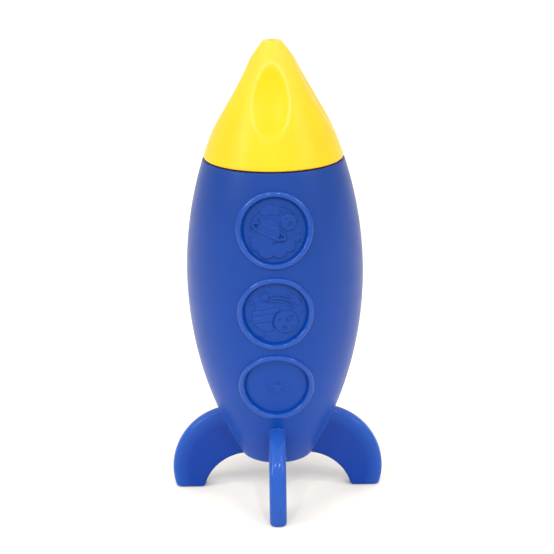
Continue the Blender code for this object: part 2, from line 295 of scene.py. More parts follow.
def on_side(across, height, lift):
    """Points over the front of the side: across is X, and lift is outward along its normal."""
    radius = side_radius(height)
    turn = np.arcsin(across / radius)
    slope = np.arcsin((height - WIDEST_HEIGHT) / SIDE_ARC)
    return np.stack(
        [
            across + lift * np.sin(turn) * np.cos(slope),
            -radius * np.cos(turn) - lift * np.cos(turn) * np.cos(slope),
            height + lift * np.sin(slope),
        ],
        axis=-1,
    )


def rounded(before, corner, after, radius, steps):
    """The arc that rounds the corner between two neighbouring points of a profile."""
    corner = Vector(corner)
    to_before = (Vector(before) - corner).normalized()
    to_after = (Vector(after) - corner).normalized()
    half_angle = to_before.angle(to_after) / 2
    start = corner + to_before * radius / math.tan(half_angle)
    end = corner + to_after * radius / math.tan(half_angle)
    centre = corner + (to_before + to_after).normalized() * radius / math.sin(half_angle)
    points = []
    for i in range(steps + 1):
        chord = start.lerp(end, i / steps) - centre
        points.append(tuple(centre + chord.normalized() * radius))
    return points


def smooth_loop(points, steps):
    """A closed cubic B-spline guided by these points."""
    guide = np.array(points)
    t = np.arange(steps)[:, None] / steps
    weights = (
        (1 - t) ** 3 / 6,
        (3 * t**3 - 6 * t**2 + 4) / 6,
        (-3 * t**3 + 3 * t**2 + 3 * t + 1) / 6,
        t**3 / 6,
    )
    runs = []
    for i in range(len(guide)):
        corners = [guide[(i + k - 1) % len(guide)] for k in range(4)]
        runs.append(sum(w * c for w, c in zip(weights, corners)))
    return np.concatenate(runs)


# ---- meshes ----


def make_piece(name, vertices, faces, material, body, slot, *nodes):
    mesh = bpy.data.meshes.new(name)
    mesh.from_pydata(np.asarray(vertices).tolist(), [], faces)
    mesh.validate()
    mesh.shade_smooth()
    mesh.materials.append(material)
    piece = bpy.data.objects.new(name, mesh)
    bpy.context.scene.collection.objects.link(piece)
    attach(piece, body)
    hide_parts(*nodes)
    return piece


def strip_faces(rows, columns, loop=False):
    """Quads of a sheet of rows of points. Every row is a ring; loop also joins last to first."""
    row = np.arange(rows if loop else rows - 1)[:, None]
    column = np.arange(columns)[None, :]
    ahead = (row + 1) % rows
    side = (column + 1) % columns
    here, there = row * columns, ahead * columns
    quads = np.stack([here + column, here + side, there + side, there + column], axis=-1)
    return quads.reshape(-1, 4).tolist()


def fan_faces(first, columns, pole, flip):
    """Triangles from the ring of points that starts at first to a pole. flip turns them over."""
    faces = []
    for i in range(columns):
        edge = (first + i, first + (i + 1) % columns)
        faces.append((edge[1], edge[0], pole) if flip else (edge[0], edge[1], pole))
    return faces


def turned(profile, columns):
    """Rings of points around Z for a profile of (radius, height) points."""
    turn = np.arange(columns) * math.tau / columns
    profile = np.array(profile)
    radius = profile[:, 0][:, None]
    return np.stack(
        [
            radius * np.sin(turn),
            -radius * np.cos(turn),
            np.repeat(profile[:, 1][:, None], columns, axis=1),
        ],
        axis=-1,
    )


# ---- hull ----


def hull_profile(low, high):
    """From the middle of the floor's inside, up the inside, over the rim and down the outside."""
    floor = low + WALL
    rim_edge = (float(side_radius(high)), high)
    bore_bottom = (NECK_BORE, NECK_LIP_BOTTOM)
    bore_top = (NECK_BORE, high)
    base_edge = (float(side_radius(low)), low)
    inside_edge = (float(side_radius(floor, -WALL)), floor)
    side = side_points(high - 2 * EDGE_ROUND, low + 1.6 * BASE_ROUND, HULL_ROWS)
    inside = side_points(floor + 2 * BASE_ROUND, NECK_LIP_RUN_OUT, INSIDE_ROWS, -WALL)
    return [
        (inside_edge[0] * POLE_RING, floor),
        *rounded((0.0, floor), inside_edge, inside[0], BASE_ROUND, FLOOR_CORNER_STEPS),
        *inside,
        bore_bottom,
        *rounded(bore_bottom, bore_top, rim_edge, EDGE_ROUND, RIM_STEPS),
        *rounded(bore_top, rim_edge, side[0], EDGE_ROUND, RIM_STEPS),
        *side,
        *rounded(side[-1], base_edge, (0.0, low), BASE_ROUND, BASE_STEPS),
        (base_edge[0] * POLE_RING, low),
    ]


def make_hull(material, portholes):
    """The barrel, with a round pocket behind each plaque."""
    low, high = (corner.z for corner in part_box("hull_shell"))
    rings = turned(hull_profile(low, high), HULL_COLUMNS)
    x, y, z = (rings[..., i] for i in range(3))
    outside = (y < 0) & (np.hypot(x, y) > side_radius(z) - WALL / 4)
    for middle in portholes.values():
        reach = np.hypot(x, z - middle)
        share = np.clip((POCKET_RADIUS - reach) / POCKET_RUN_OUT, 0, 1)
        depth = POCKET_DEPTH * share * share * (3 - 2 * share) * outside
        slope = np.arcsin((z - WIDEST_HEIGHT) / SIDE_ARC)
        turn = np.arctan2(x, -y)
        x -= depth * np.sin(turn) * np.cos(slope)
        y += depth * np.cos(turn) * np.cos(slope)
        z -= depth * np.sin(slope)
    rows = rings.shape[0]
    floor_pole = rows * HULL_COLUMNS
    vertices = np.concatenate([rings.reshape(-1, 3), [(0, 0, low + WALL), (0, 0, low)]])
    faces = strip_faces(rows, HULL_COLUMNS)
    faces += fan_faces(0, HULL_COLUMNS, floor_pole, True)
    faces += fan_faces(floor_pole - HULL_COLUMNS, HULL_COLUMNS, floor_pole + 1, False)
    make_piece("hull_skin", vertices, faces, material, "hull", "hull_blue", "hull_shell")


# ---- portholes ----


def make_ring(place, middle, material):
    """A raised round rim that follows the side."""
    section = smooth_loop(RING_SECTION, RING_SPLINE_STEPS) * MM
    turn = np.arange(RING_COLUMNS) * math.tau / RING_COLUMNS
    reach = section[:, 0][:, None]
    lift = np.repeat(section[:, 1][:, None], RING_COLUMNS, axis=1)
    points = on_side(reach * np.sin(turn), middle + reach * np.cos(turn), lift)
    faces = strip_faces(len(section), RING_COLUMNS, loop=True)
    make_piece(
        "rim_" + place, points.reshape(-1, 3), faces, material,
        "hull", "porthole_blue", "porthole_ring_" + place,
    )


def soft_step(distance):
    """1 inside a shape and 0 outside it, with a soft edge. distance is negative inside."""
    share = np.clip(0.5 - distance / (2 * RELIEF_SOFTNESS), 0, 1)
    return share * share * (3 - 2 * share)


def disc_distance(u, v, middle, radius):
    return np.hypot(u - middle[0], v - middle[1]) - radius


def dome(u, v, ball):
    """A ball that stands out of the plaque, by its height at its middle."""
    x, y, radius, height = (size * MM for size in ball)
    away = np.hypot(u - x, v - y) / radius
    rise = DOME_FOOT + (1 - DOME_FOOT) * np.sqrt(np.clip(1 - away**2, 0, 1))
    return height * rise * soft_step((away - 1) * radius)


def star_distance(u, v, middle, radius):
    """About how far a place is outside a star with one point up."""
    wedge = math.pi / STAR_POINTS
    du, dv = u - middle[0], v - middle[1]
    turn = np.abs((np.arctan2(du, dv) + wedge) % (2 * wedge) - wedge)
    reach = np.hypot(du, dv)
    across, along = reach * np.sin(turn), reach * np.cos(turn)
    waist = radius * STAR_WAIST
    edge = (waist * math.sin(wedge), waist * math.cos(wedge) - radius)
    return (across * -edge[1] + (along - radius) * edge[0]) / math.hypot(*edge)


def ellipse_distance(u, v, middle, reach, lean):
    """About how far a place is outside a leaning ellipse. reach is its long and short radius."""
    long_reach, short_reach = reach
    du, dv = u - middle[0], v - middle[1]
    along = du * math.cos(lean) + dv * math.sin(lean)
    across = -du * math.sin(lean) + dv * math.cos(lean)
    scaled = np.hypot(along / long_reach, across / short_reach)
    return (scaled - 1) * short_reach


def line_arc(u, v, middle, radius, first, last, half_width):
    """Distance outside a thin curved line. The angles are from up, clockwise."""
    du, dv = u - middle[0], v - middle[1]
    centre, half = (first + last) / 2, (last - first) / 2
    turn = (np.degrees(np.arctan2(du, dv)) - centre + 180) % 360 - 180
    past = np.maximum(np.abs(turn) - half, 0)
    off = np.hypot(du, dv) - radius
    return np.hypot(off, np.radians(past) * radius) - half_width


def stack(u, v, height, balls, stars=(), arcs=()):
    """Adds balls, stars and curved lines to a relief."""
    for ball in balls:
        height = np.maximum(height, dome(u, v, ball))
    for x, y, radius, lift in stars:
        away = star_distance(u, v, (x * MM, y * MM), radius * MM)
        height = np.maximum(height, lift * MM * soft_step(away))
    for x, y, radius, first, last, half_width, lift in arcs:
        away = line_arc(u, v, (x * MM, y * MM), radius * MM, first, last, half_width * MM)
        height = np.maximum(height, lift * MM * soft_step(away))
    return height


def pits(u, v, height, places):
    """Sinks round craters, each with a low lip, into a relief."""
    for x, y, radius, depth in places:
        away = disc_distance(u, v, (x * MM, y * MM), radius * MM)
        height = height - depth * MM * soft_step(away)
        height = height + PIT_LIP * soft_step(np.abs(away - PIT_LIP) - PIT_LIP)
    return height


def no_relief(u, v):
    return np.zeros(np.broadcast(u, v).shape)


def upper_relief(u, v):
    """A ringed planet over a bank of cloud, a cratered moon, orbit lines and stars."""
    x, y, radius = (size * MM for size in UPPER_PLANET[:3])
    body = disc_distance(u, v, (x, y), radius)
    tilt = (v - y) * math.cos(UPPER_LEAN) - (u - x) * math.sin(UPPER_LEAN)
    ball = dome(u, v, UPPER_PLANET)
    for shift in UPPER_GROOVES:
        groove = soft_step(np.abs(tilt - shift * MM) - UPPER_GROOVE_HALF_WIDTH)
        ball = ball - UPPER_GROOVE_DEPTH * groove * (body < -UPPER_GROOVE_MARGIN)
    band_out = ellipse_distance(u, v, (x, y), UPPER_BAND_OUTER, UPPER_LEAN)
    band_in = ellipse_distance(u, v, (x, y), UPPER_BAND_INNER, UPPER_LEAN)
    behind = (tilt > 0) & (body < 0)
    band = UPPER_BAND_HEIGHT * soft_step(np.maximum(band_out, -band_in)) * ~behind
    moon = pits(u, v, dome(u, v, UPPER_MOON), UPPER_PITS)
    height = stack(u, v, no_relief(u, v), UPPER_CLOUDS)
    for layer in (ball, band, moon):
        height = np.maximum(height, layer)
    return stack(u, v, height, UPPER_BALLS, UPPER_STARS, UPPER_ARCS)


def middle_relief(u, v):
    """A banded planet behind a cratered moon, a shooting star and small stars."""
    planet = (MIDDLE_PLANET[0] * MM, MIDDLE_PLANET[1] * MM)
    moon = (MIDDLE_MOON[0] * MM, MIDDLE_MOON[1] * MM)
    height = dome(u, v, MIDDLE_PLANET)
    on_planet = soft_step(disc_distance(u, v, planet, MIDDLE_BAND_REACH))
    for shift, width in MIDDLE_BANDS:
        tilt = (v - planet[1]) - MIDDLE_BAND_SLOPE * (u - planet[0]) - shift * MM
        groove = soft_step(np.abs(tilt) - width * MM / 2)
        height = height - MIDDLE_BAND_DEPTH * groove * on_planet
    height = height * (1 - soft_step(disc_distance(u, v, moon, MIDDLE_MOON_CLEAR)))
    height = np.maximum(height, pits(u, v, dome(u, v, MIDDLE_MOON), MIDDLE_PITS))
    return stack(u, v, height, MIDDLE_BALLS, MIDDLE_STARS, MIDDLE_ARCS)


def lower_relief(u, v):
    """One small star between two short columns of dots."""
    return stack(u, v, no_relief(u, v), LOWER_DOTS, LOWER_STARS)


RELIEFS = {"upper": upper_relief, "middle": middle_relief, "lower": lower_relief}


def make_plaque(place, middle, material):
    """A sunk disc with its relief, closed at the back."""
    relief = RELIEFS[place]
    reach = (np.arange(PLAQUE_RINGS, 0, -1) / PLAQUE_RINGS * PLAQUE_RADIUS)[:, None]
    turn = np.arange(PLAQUE_COLUMNS) * math.tau / PLAQUE_COLUMNS
    u, v = reach * np.sin(turn), reach * np.cos(turn)
    near_edge = np.clip((reach - PLAQUE_RADIUS + PLAQUE_EDGE_WIDTH) / PLAQUE_EDGE_WIDTH, 0, 1)
    lift = PLAQUE_FACE + near_edge**2 * PLAQUE_EDGE_DROP + relief(u, v)
    back = np.full((1, PLAQUE_COLUMNS), PLAQUE_BACK)
    u, v, lift = (np.concatenate([a[:1], b]) for a, b in ((u, u), (v, v), (back, lift)))
    centre = np.zeros((1, 1))
    centre_lift = PLAQUE_FACE + relief(centre, centre)
    points = on_side(u, middle + v, lift).reshape(-1, 3)
    poles = [
        on_side(centre, middle + centre, centre_lift).reshape(3),
        on_side(centre, middle + centre, centre + PLAQUE_BACK).reshape(3),
    ]
    rows = PLAQUE_RINGS + 1
    last = rows * PLAQUE_COLUMNS
    faces = strip_faces(rows, PLAQUE_COLUMNS)
    faces += fan_faces((rows - 1) * PLAQUE_COLUMNS, PLAQUE_COLUMNS, last, False)
    faces += fan_faces(0, PLAQUE_COLUMNS, last + 1, True)
    make_piece(
        "disc_" + place, np.concatenate([points, poles]), faces, material,
        "hull", "hull_blue", "porthole_plaque_" + place,
    )


# ---- fins ----


def fin_section():
    """One loop round a fin's section, as (share, offset, side) with its outward directions.

    A point lies share of the half length from the middle, plus offset. The outer end is one
    squarish round across the whole thickness, and the inner end is flat with two small rounds.
    """
    half = FIN_THICKNESS / 2
    points, outward = [], []

    def bend(share, centre, depth, width, first, last, steps, squareness=2.0):
        """A quarter or half of an ellipse, squarer above a squareness of 2."""
        for i in range(steps + 1):
            angle = math.radians(first + (last - first) * i / steps)
            level, rise = math.cos(angle), math.sin(angle)
            power = 2 / squareness
            reach = math.copysign(abs(level) ** power, level)
            side = math.copysign(abs(rise) ** power, rise)
            way = Vector(
                (
                    math.copysign(abs(level) ** (2 - power), level) / depth,
                    math.copysign(abs(rise) ** (2 - power), rise) / width,
                )
            )
            points.append((share, -share * depth + depth * reach, centre + width * side))
            outward.append(tuple(way.normalized()))

    def flat(end, steps):
        """Points on the way from the last one to the end, leaving out both."""
        start, way = points[-1], outward[-1]
        for i in range(1, steps):
            part = i / steps
            points.append(tuple(a + (b - a) * part for a, b in zip(start, end)))
            outward.append(way)

    inner = half - FIN_INNER_ROUND
    bend(1, 0.0, FIN_OUTER_DEPTH, half, -90, 90, FIN_OUTER_STEPS, FIN_OUTER_SQUARENESS)
    flat((-1, FIN_INNER_ROUND, half), FIN_SIDE_STEPS)
    bend(-1, inner, FIN_INNER_ROUND, FIN_INNER_ROUND, 90, 180, FIN_CORNER_STEPS)
    flat((-1, 0.0, -inner), FIN_INNER_STEPS)
    bend(-1, -inner, FIN_INNER_ROUND, FIN_INNER_ROUND, 180, 270, FIN_CORNER_STEPS)
    flat((1, -FIN_OUTER_DEPTH, -half), FIN_SIDE_STEPS)
    return np.array(points), np.array(outward)


def on_arc(turn, radius, centre):
    return np.stack([np.cos(turn), np.sin(turn)], -1) * radius + centre


def fin_points(t):
    """The fin's outer and inner edge at each share t of its way from the sole to the root."""
    sole_angle = math.asin(FIN_OUTER_CENTRE[1] / FIN_OUTER_ARC)
    arch_angle = math.asin(-FIN_INNER_CENTRE[1] / FIN_INNER_ARC)
    outer_turn = -sole_angle + (math.pi / 2 + sole_angle) * t
    inner_turn = arch_angle + (math.pi / 2 - arch_angle) * t
    outer = on_arc(outer_turn, FIN_OUTER_ARC, FIN_OUTER_CENTRE)
    inner = on_arc(inner_turn, FIN_INNER_ARC, FIN_INNER_CENTRE)
    return outer, inner


def section_place(outer, inner, local, outward, flare):
    """Places section points between the fin's outer and inner arcs, as (reach, side, height)."""
    along = outer - inner
    length = np.linalg.norm(along, axis=-1, keepdims=True)
    along = along / length
    middle = (outer + inner) / 2
    flat = middle + along * (local[..., :1] + flare * outward[..., :1])
    side = local[..., 1] + flare[..., 0] * outward[..., 1]
    return np.stack([flat[..., 0], side, flat[..., 1]], axis=-1)


def rounding(distance, radius):
    """How far a rounded edge has drawn in at this distance from its end."""
    left = np.clip(radius - distance, 0, radius)
    return radius - np.sqrt(radius**2 - left**2)


def fin_surface(t):
    """Fin points for an array t of shape (sections, lines), without and with the root fillet."""
    half_width = FIN_THICKNESS / 2
    outer, inner = fin_points(t)
    half_length = np.linalg.norm(outer - inner, axis=-1) / 2
    section, outward = fin_section()
    outward = np.broadcast_to(outward, t.shape + (2,))
    along = section[:, 0] * half_length + section[:, 1]
    across = np.broadcast_to(section[:, 2], t.shape)
    share = (along / half_length + 1) / 2
    height = inner[..., 1] + (outer[..., 1] - inner[..., 1]) * share
    along = along * (1 - rounding(height, FIN_SOLE_ROUND_ALONG) / half_length)
    across = across * (1 - rounding(height, FIN_SOLE_ROUND_ACROSS) / half_width)
    local = np.stack([along, across], axis=-1)
    plain = section_place(outer, inner, local, outward, np.zeros(t.shape + (1,)))
    away = np.hypot(plain[..., 0], plain[..., 1]) - side_radius(plain[..., 2])
    flare = rounding(np.clip(away, 0, None), FIN_ROOT_FILLET)[..., None]
    return plain, section_place(outer, inner, local, outward, flare)


def make_fins(material):
    """Four copies of one crescent, each line of which ends a little inside the hull."""
    lines = len(fin_section()[0])
    trial = np.repeat(np.linspace(0, 1, FIN_TRIAL_SECTIONS)[:, None], lines, axis=1)
    plain, _ = fin_surface(trial)
    reach = np.hypot(plain[..., 0], plain[..., 1])
    inside = reach < side_radius(plain[..., 2], -FIN_ROOT_DEPTH)
    end = trial[np.argmax(inside, axis=0), 0]
    share = np.linspace(0, 1, FIN_SECTIONS)
    share = share - FIN_CROWDING * np.sin(math.tau * share) / math.tau
    _, points = fin_surface(share[:, None] * end)
    poles = [points[0].mean(0), points[-1].mean(0)]
    vertices = np.concatenate([points.reshape(-1, 3), poles])
    sole_pole = FIN_SECTIONS * lines
    faces = strip_faces(FIN_SECTIONS, lines)
    faces += fan_faces(0, lines, sole_pole, True)
    faces += fan_faces(sole_pole - lines, lines, sole_pole + 1, False)
    for i, name in enumerate(("front", "right", "rear", "left")):
        turn = np.array(Matrix.Rotation(math.radians(90 * i - 90), 3, "Z"))
        make_piece(
            "crescent_fin_" + name, vertices @ turn.T, faces, material,
            "hull", "fin_blue", "fin_" + name,
        )


# ---- nose and plug ----


def dent_reach(turn, height):
    """Level distance from the axis to the nearest dent's ball, in each direction.

    The ball is an ellipsoid that leans with the side. In one direction, the point at distance d is
    (across_rate * d, through_rate * d + through, along_rate * d + along) from its middle, each in
    units of the ball's own radius that way.
    """
    slope = math.asin((DENT_HEIGHT - WIDEST_HEIGHT) / SIDE_ARC)
    surface = float(side_radius(DENT_HEIGHT))
    middle_reach = surface + math.cos(slope) * (DENT_THROUGH - DENT_DEPTH)
    middle_height = DENT_HEIGHT + math.sin(slope) * (DENT_THROUGH - DENT_DEPTH)
    quarter = math.tau / DENT_COUNT
    turn = (turn + quarter / 2) % quarter - quarter / 2
    rise = height - middle_height
    out = (math.cos(slope), math.sin(slope))
    up = (-math.sin(slope), math.cos(slope))
    across_rate = np.sin(turn) / DENT_ACROSS
    through_rate = np.cos(turn) * out[0] / DENT_THROUGH
    through = (rise * out[1] - middle_reach * out[0]) / DENT_THROUGH
    along_rate = np.cos(turn) * up[0] / DENT_ALONG
    along = (rise * up[1] - middle_reach * up[0]) / DENT_ALONG
    a = across_rate**2 + through_rate**2 + along_rate**2
    b = through_rate * through + along_rate * along
    c = through**2 + along**2 - 1
    inside = b**2 - a * c
    reach = (-b - np.sqrt(np.clip(inside, 0, None))) / a
    return np.where((inside > 0) & (reach > 0), reach, NO_DENT)


def soft_min(a, b, width):
    """The smaller of two values, rounded over where they differ by less than the width."""
    overlap = np.clip(width - np.abs(a - b), 0, None) / width
    return np.minimum(a, b) - overlap**2 * width / 4


def nose_profile(low, high):
    """From the squirt hole, over the tip, down the outside, in at the seam and up the inside."""
    socket = SPIGOT_RADIUS + GAP
    socket_top = SPIGOT_TOP + GAP
    tip_edge = (float(side_radius(high)), high)
    side = side_points(high - TIP_ROUND, low + 2 * NOSE_LIP_ROUND, NOSE_ROWS)
    bottom_edge = (float(side_radius(low)), low)
    socket_edge = (socket, low)
    cavity = side_points(socket_top + WALL, NOSE_CAVITY_TOP, CAVITY_ROWS, -NOSE_WALL)
    hole_edge = (SQUIRT_HOLE, high)
    hole_inside = (SQUIRT_HOLE, high - SQUIRT_HOLE_DEPTH)
    return [
        *rounded(hole_inside, hole_edge, tip_edge, SQUIRT_HOLE_ROUND, SQUIRT_HOLE_STEPS),
        *rounded(hole_edge, tip_edge, side[0], TIP_ROUND, TIP_STEPS),
        *side[1:],
        *rounded(side[-1], bottom_edge, socket_edge, NOSE_LIP_ROUND, NOSE_LIP_STEPS),
        *rounded(bottom_edge, socket_edge, (socket, socket_top), EDGE_ROUND, SOCKET_EDGE_STEPS),
        (socket, socket_top),
        (PLUG_BORE, socket_top),
        *[point for point in cavity if point[0] < PLUG_BORE],
        (SQUIRT_HOLE, NOSE_CAVITY_TOP + SQUIRT_HOLE * 2),
    ]


def make_nose(material):
    """The nose with its dents, and the painted highlight on the dent rims and the painted shade on
    the dent floors as attributes of its points.
    """
    low, high = (corner.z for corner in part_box("nose_cone"))
    profile = nose_profile(low, high)
    rings = turned(profile, NOSE_COLUMNS)
    x, y, z = (rings[..., i] for i in range(3))
    reach = np.hypot(x, y)
    turn = np.arctan2(x, -y)
    fade = np.clip((DENT_FADE_TOP - z) / (DENT_FADE_TOP - DENT_FADE_BOTTOM), 0, 1)
    rim_round = DENT_RIM_ROUND + (DENT_FADE_ROUND - DENT_RIM_ROUND) * fade**2
    ball = dent_reach(turn - NOSE_TURN, z)
    dented = soft_min(reach, ball, rim_round)
    outside = reach > side_radius(z) - NOSE_WALL / 2
    # Painted highlight: a whitened line along each dent's rim, fading out towards the bottom of
    # the dent
    high_share = (z - PAINTED_RIM_HIGHLIGHT_FADE_BOTTOM) / (PAINTED_RIM_HIGHLIGHT_FADE_TOP - PAINTED_RIM_HIGHLIGHT_FADE_BOTTOM)
    on_rim = np.clip(1 - np.abs(reach - ball) / PAINTED_RIM_HIGHLIGHT_WIDTH, 0, 1)
    painted_rim_highlight = on_rim * np.clip(high_share, 0, 1) * outside
    # Painted shade: a deeper colour over each dent's floor
    sunk = np.clip((reach - ball) / PAINTED_DENT_SHADE_FULL, 0, 1) * outside
    scale = np.where(outside, dented / reach, 1.0)
    x *= scale
    y *= scale
    faces = strip_faces(len(profile), NOSE_COLUMNS, loop=True)
    piece = make_piece(
        "nose_shell", rings.reshape(-1, 3), faces, material, "nose", "nose_yellow", "nose_cone"
    )
    for name, values in ((PAINTED_RIM_HIGHLIGHT, painted_rim_highlight), (PAINTED_DENT_SHADE, sunk)):
        marked = piece.data.attributes.new(name, "FLOAT", "POINT")
        marked.data.foreach_set("value", values.astype(np.float32).ravel())


def make_plug(material):
    """A stepped collar: a skirt in the hull's neck under a spigot in the nose's socket."""
    low, high = (corner.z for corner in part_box("nose_plug"))
    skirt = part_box("nose_plug")[1].x
    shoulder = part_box("nose_cone")[0].z - GAP
    corners = [
        (PLUG_BORE, high), (SPIGOT_RADIUS, high), (SPIGOT_RADIUS, shoulder),
        (skirt, shoulder), (skirt, low), (PLUG_BORE, low),
    ]
    profile = []
    for i, radius in enumerate(PLUG_ROUNDS):
        before, after = corners[i - 1], corners[(i + 1) % len(corners)]
        profile += rounded(before, corners[i], after, radius, PLUG_CORNER_STEPS)
        span = np.linspace(corners[i], after, PLUG_SIDE_STEPS)[2:-2]
        profile += [tuple(point) for point in span]
    rings = turned(profile, PLUG_COLUMNS)
    faces = strip_faces(len(profile), PLUG_COLUMNS, loop=True)
    make_piece(
        "plug_collar", rings.reshape(-1, 3), faces, material, "plug", "nose_yellow", "nose_plug"
    )


# ---- materials ----


def height_measure(nodes, links, place):
    """How high a point is."""
    parts = nodes.new("ShaderNodeSeparateXYZ")
    links.new(place, parts.inputs["Vector"])
    return parts.outputs["Z"]


def fin_back_measure(nodes, links, place):
    """Distance from the centre of the arc that makes the outer edge of every fin."""

    def vector(operation, source):
        made = nodes.new("ShaderNodeVectorMath")
        made.operation = operation
        links.new(source, made.inputs[0])
        return made

    parts = nodes.new("ShaderNodeSeparateXYZ")
    links.new(place, parts.inputs["Vector"])
    level = vector("MULTIPLY", place)
    level.inputs[1].default_value = (1, 1, 0)
    reach = vector("LENGTH", level.outputs["Vector"])
    section = nodes.new("ShaderNodeCombineXYZ")
    links.new(reach.outputs["Value"], section.inputs["X"])
    links.new(parts.outputs["Z"], section.inputs["Y"])
    away = vector("SUBTRACT", section.outputs["Vector"])
    away.inputs[1].default_value = (*FIN_OUTER_CENTRE, 0)
    return vector("LENGTH", away.outputs["Vector"]).outputs["Value"]


def soft_rubber(name, colour, far, reach, glow, roughness, shine, fuzz, seed):
    """Matt moulded silicone with fine grain, faint clouding, pale specks and uneven gloss.

    The colour drifts to far over reach, which is a measure with its first and last distance: a
    painted gradient of light and shade.
    Where a mesh has the dent attributes, they mix in a whitened colour, a painted highlight along
    the dent rims, and a deeper colour, painted shade on the dent floors.
    """
    material = bpy.data.materials.new(name)
    material.use_nodes = True
    nodes, links = material.node_tree.nodes, material.node_tree.links
    shader = nodes["Principled BSDF"]
    place = nodes.new("ShaderNodeTexCoord")
    moved = nodes.new("ShaderNodeMapping")
    moved.inputs["Location"].default_value = (seed, seed * 0.7, -seed)
    links.new(place.outputs["Object"], moved.inputs["Vector"])

    def noise(scale, detail, rough=0.5):
        made = nodes.new("ShaderNodeTexNoise")
        made.inputs["Scale"].default_value = scale
        made.inputs["Detail"].default_value = detail
        made.inputs["Roughness"].default_value = rough
        links.new(moved.outputs["Vector"], made.inputs["Vector"])
        return made.outputs["Fac"]

    def ramp(value, reach, low_colour, high_colour):
        made = nodes.new("ShaderNodeValToRGB")
        made.color_ramp.elements[0].position = reach[0]
        made.color_ramp.elements[1].position = reach[1]
        made.color_ramp.elements[0].color = low_colour
        made.color_ramp.elements[1].color = high_colour
        links.new(value, made.inputs["Fac"])
        return made.outputs["Color"]

    def multiplied(surface, tint, strength):
        made = nodes.new("ShaderNodeMix")
        made.data_type = "RGBA"
        made.blend_type = "MULTIPLY"
        made.inputs["Factor"].default_value = strength
        links.new(surface, made.inputs["A"])
        links.new(tint, made.inputs["B"])
        return made.outputs["Result"]

    def bump(height, strength, depth):
        made = nodes.new("ShaderNodeBump")
        made.inputs["Strength"].default_value = strength
        made.inputs["Distance"].default_value = depth
        links.new(height, made.inputs["Height"])
        return made

    measure, first, last = reach
    share = nodes.new("ShaderNodeMapRange")
    share.inputs["From Min"].default_value = first
    share.inputs["From Max"].default_value = last
    links.new(measure(nodes, links, place.outputs["Object"]), share.inputs["Value"])
    # Painted light and shade: the base colour shifts from colour to the far colour along the
    # measure
    painted_light_drift = nodes.new("ShaderNodeMix")
    painted_light_drift.data_type = "RGBA"
    painted_light_drift.inputs["A"].default_value = (*colour, 1)
    painted_light_drift.inputs["B"].default_value = (*far, 1)
    links.new(share.outputs["Result"], painted_light_drift.inputs["Factor"])
    clouds = ramp(noise(CLOUD_SCALE, 3), CLOUD_RAMP, CLOUD_DARK, CLOUD_LIGHT)
    specks = ramp(noise(SPECK_SCALE, 2, 0.6), SPECK_RAMP, WHITE, SPECK_LIGHT)
    surface = multiplied(painted_light_drift.outputs["Result"], clouds, 1.0)
    surface = multiplied(surface, specks, SPECK_STRENGTH)
    # Painted shade on the dent floors: the colour deepened
    painted_dent_shade_colour = tuple(c * tint for c, tint in zip(colour, PAINTED_DENT_SHADE_TINT))
    # Painted highlight on the dent rims: the far colour whitened
    painted_rim_highlight_colour = tuple(PAINTED_RIM_HIGHLIGHT_WHITENING + (1 - PAINTED_RIM_HIGHLIGHT_WHITENING) * c for c in far)
    for attribute, marked_colour in ((PAINTED_DENT_SHADE, painted_dent_shade_colour), (PAINTED_RIM_HIGHLIGHT, painted_rim_highlight_colour)):
        amount = nodes.new("ShaderNodeAttribute")
        amount.attribute_name = attribute
        marked = nodes.new("ShaderNodeMix")
        marked.data_type = "RGBA"
        marked.inputs["B"].default_value = (*marked_colour, 1)
        links.new(amount.outputs["Fac"], marked.inputs["Factor"])
        links.new(surface, marked.inputs["A"])
        surface = marked.outputs["Result"]
    links.new(surface, shader.inputs["Base Color"])

    spread = nodes.new("ShaderNodeMapRange")
    spread.inputs["From Min"].default_value = GLOSS_RAMP[0]
    spread.inputs["From Max"].default_value = GLOSS_RAMP[1]
    spread.inputs["To Min"].default_value = roughness - GLOSS_BELOW
    spread.inputs["To Max"].default_value = roughness + GLOSS_ABOVE
    links.new(noise(GLOSS_SCALE, 5, 0.6), spread.inputs["Value"])
    links.new(spread.outputs["Result"], shader.inputs["Roughness"])

    grain = bump(noise(GRAIN_SCALE, 3, 0.6), *GRAIN_BUMP)
    waves = bump(noise(WAVE_SCALE, 2), *WAVE_BUMP)
    links.new(grain.outputs["Normal"], waves.inputs["Normal"])
    links.new(waves.outputs["Normal"], shader.inputs["Normal"])

    shader.inputs["IOR"].default_value = RUBBER_IOR
    shader.inputs["Specular IOR Level"].default_value = shine
    shader.inputs["Sheen Weight"].default_value = fuzz
    shader.inputs["Sheen Roughness"].default_value = FUZZ_ROUGHNESS
    shader.inputs["Subsurface Weight"].default_value = glow
    shader.inputs["Subsurface Radius"].default_value = tuple(GLOW_SPREAD + c for c in colour)
    shader.inputs["Subsurface Scale"].default_value = GLOW_DEPTH
    return material


def paper_floor():
    """Warm white paper that glows a little, so that it stays white under the toy's tint."""
    material = bpy.data.materials.new("studio_paper")
    material.use_nodes = True
    nodes, links = material.node_tree.nodes, material.node_tree.links
    shader = nodes["Principled BSDF"]
    shader.inputs["Roughness"].default_value = FLOOR_ROUGHNESS
    shader.inputs["Specular IOR Level"].default_value = FLOOR_SHINE
    grain = nodes.new("ShaderNodeTexNoise")
    grain.inputs["Scale"].default_value = FLOOR_GRAIN_SCALE
    colours = nodes.new("ShaderNodeValToRGB")
    for element, colour in zip(colours.color_ramp.elements, FLOOR_COLOURS):
        element.color = colour
    links.new(grain.outputs["Fac"], colours.inputs["Fac"])
    links.new(colours.outputs["Color"], shader.inputs["Base Color"])
    shader.inputs["Emission Color"].default_value = FLOOR_GLOW
    shader.inputs["Emission Strength"].default_value = FLOOR_GLOW_STRENGTH
    return material


# ---- studio ----


